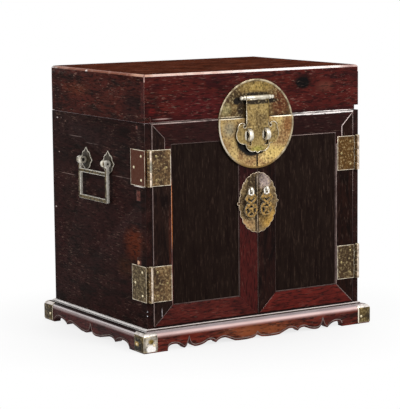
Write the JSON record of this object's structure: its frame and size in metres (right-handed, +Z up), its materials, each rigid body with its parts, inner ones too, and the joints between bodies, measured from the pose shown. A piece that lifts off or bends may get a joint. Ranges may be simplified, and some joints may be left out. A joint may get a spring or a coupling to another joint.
{
  "type": "chinese cabinet",
  "caption": "Small dark hardwood chest with a hinged lid over a tray, two framed doors over drawers, a scalloped plinth and aged brass mounts.",
  "frame": {"origin": "middle of the plinth's underside, on the floor", "axes": "+X to the right of someone facing the doors, +Y from the doors to the back, +Z up"},
  "size_m": [0.3888, 0.3038, 0.382],
  "materials": {
    "case_wood": "dark red-brown rosewood, waxed and worn",
    "front_wood": "deep red rosewood, waxed, semi-gloss",
    "panel_wood": "near-black close-grained hardwood, satin",
    "inner_wood": "plain light brown secondary wood, unpolished",
    "drawer_wood": "plain brown wood, rubbed",
    "plate_brass": "aged sheet brass with brown patina",
    "cast_brass": "pale cast white brass, rubbed bright on the edges"
  },
  "bodies": {
    "case": {"side_board_left": "case_wood", "side_board_right": "case_wood", "back_board": "case_wood", "bottom_board": "inner_wood", "tray_floor": "inner_wood", "tray_front": "front_wood", "drawer_rails": "front_wood", "drawer_shelves": "inner_wood", "drawer_uprights": "inner_wood", "plinth_front": "front_wood", "plinth_back": "front_wood", "plinth_sides": "front_wood", "plinth_corner_mounts": "plate_brass", "case_hinge_leaves": "plate_brass", "hinge_pins": "cast_brass", "bail_mounts": "cast_brass", "case_nails": "cast_brass"},
    "lid": {"lid_top": "front_wood", "lid_front": "front_wood", "lid_back": "case_wood", "lid_sides": "case_wood", "lock_plate_lid": "plate_brass", "hasp_bar": "cast_brass", "lid_hinge_leaves": "plate_brass", "lid_nails": "cast_brass"},
    "hasp": {"hasp": "plate_brass"},
    "door_left": {"door_left_hinge_stile": "front_wood", "door_left_meeting_stile": "front_wood", "door_left_rails": "front_wood", "door_left_panel": "panel_wood", "door_left_lock_plate": "plate_brass", "door_left_pull_plate": "plate_brass", "door_left_loops": "cast_brass", "door_left_hinge_leaves": "plate_brass", "door_left_nails": "cast_brass"},
    "door_right": {"door_right_hinge_stile": "front_wood", "door_right_meeting_stile": "front_wood", "door_right_rails": "front_wood", "door_right_panel": "panel_wood", "door_right_lock_plate": "plate_brass", "door_right_pull_plate": "plate_brass", "door_right_loops": "cast_brass", "door_right_hinge_leaves": "plate_brass", "door_right_nails": "cast_brass"},
    "pendant_left": {"pendant_left": "cast_brass"},
    "pendant_right": {"pendant_right": "cast_brass"},
    "bail_left": {"bail_left": "cast_brass"},
    "bail_right": {"bail_right": "cast_brass"},
    "drawer_left_low": {"drawer_left_low": "drawer_wood", "drawer_pull_left_low": "cast_brass"},
    "drawer_left_middle": {"drawer_left_middle": "drawer_wood", "drawer_pull_left_middle": "cast_brass"},
    "drawer_left_high": {"drawer_left_high": "drawer_wood", "drawer_pull_left_high": "cast_brass"},
    "drawer_right_low": {"drawer_right_low": "drawer_wood", "drawer_pull_right_low": "cast_brass"},
    "drawer_right_middle": {"drawer_right_middle": "drawer_wood", "drawer_pull_right_middle": "cast_brass"},
    "drawer_right_high": {"drawer_right_high": "drawer_wood", "drawer_pull_right_high": "cast_brass"}
  },
  "joints": [
    {"name": "lid_hinge", "type": "hinge", "parent": "case", "child": "lid", "pos_m": [0, 0.141, 0.31615], "axis": [-1, 0, 0], "range_deg": [0, 105]},
    {"name": "hasp_hinge", "type": "hinge", "parent": "lid", "child": "hasp", "pos_m": [0, -0.1422, 0.343], "axis": [-1, 0, 0], "range_deg": [0, 160]},
    {"name": "door_left_hinge", "type": "hinge", "parent": "case", "child": "door_left", "pos_m": [-0.17525, -0.1414, 0.17], "axis": [0, 0, -1], "range_deg": [0, 175]},
    {"name": "door_right_hinge", "type": "hinge", "parent": "case", "child": "door_right", "pos_m": [0.17525, -0.1414, 0.17], "axis": [0, 0, 1], "range_deg": [0, 175]},
    {"name": "pendant_left_pivot", "type": "hinge", "parent": "door_left", "child": "pendant_left", "pos_m": [-0.013, -0.1457, 0.2135], "axis": [-1, 0, 0], "range_deg": [0, 120]},
    {"name": "bail_left_pivot", "type": "hinge", "parent": "case", "child": "bail_left", "pos_m": [-0.1868, -0.002, 0.252], "axis": [0, 1, 0], "range_deg": [0, 170]},
    {"name": "pendant_right_pivot", "type": "hinge", "parent": "door_right", "child": "pendant_right", "pos_m": [0.013, -0.1457, 0.2135], "axis": [-1, 0, 0], "range_deg": [0, 120]},
    {"name": "bail_right_pivot", "type": "hinge", "parent": "case", "child": "bail_right", "pos_m": [0.1868, -0.002, 0.252], "axis": [0, -1, 0], "range_deg": [0, 170]},
    {"name": "drawer_left_low_slide", "type": "slide", "parent": "case", "child": "drawer_left_low", "axis": [0, -1, 0], "range_m": [0, 0.0917]},
    {"name": "drawer_left_middle_slide", "type": "slide", "parent": "case", "child": "drawer_left_middle", "axis": [0, -1, 0], "range_m": [0, 0.0917]},
    {"name": "drawer_left_high_slide", "type": "slide", "parent": "case", "child": "drawer_left_high", "axis": [0, -1, 0], "range_m": [0, 0.0917]},
    {"name": "drawer_right_low_slide", "type": "slide", "parent": "case", "child": "drawer_right_low", "axis": [0, -1, 0], "range_m": [0, 0.0917]},
    {"name": "drawer_right_middle_slide", "type": "slide", "parent": "case", "child": "drawer_right_middle", "axis": [0, -1, 0], "range_m": [0, 0.0917]},
    {"name": "drawer_right_high_slide", "type": "slide", "parent": "case", "child": "drawer_right_high", "axis": [0, -1, 0], "range_m": [0, 0.0917]}
  ],
  "couplings": [
    {"joint": "drawer_left_low_slide", "follows": "door_left_hinge", "m_per_rad": 0.03},
    {"joint": "drawer_left_middle_slide", "follows": "door_left_hinge", "m_per_rad": 0.03},
    {"joint": "drawer_left_high_slide", "follows": "door_left_hinge", "m_per_rad": 0.03},
    {"joint": "drawer_right_low_slide", "follows": "door_right_hinge", "m_per_rad": 0.03},
    {"joint": "drawer_right_middle_slide", "follows": "door_right_hinge", "m_per_rad": 0.03},
    {"joint": "drawer_right_high_slide", "follows": "door_right_hinge", "m_per_rad": 0.03}
  ]
}
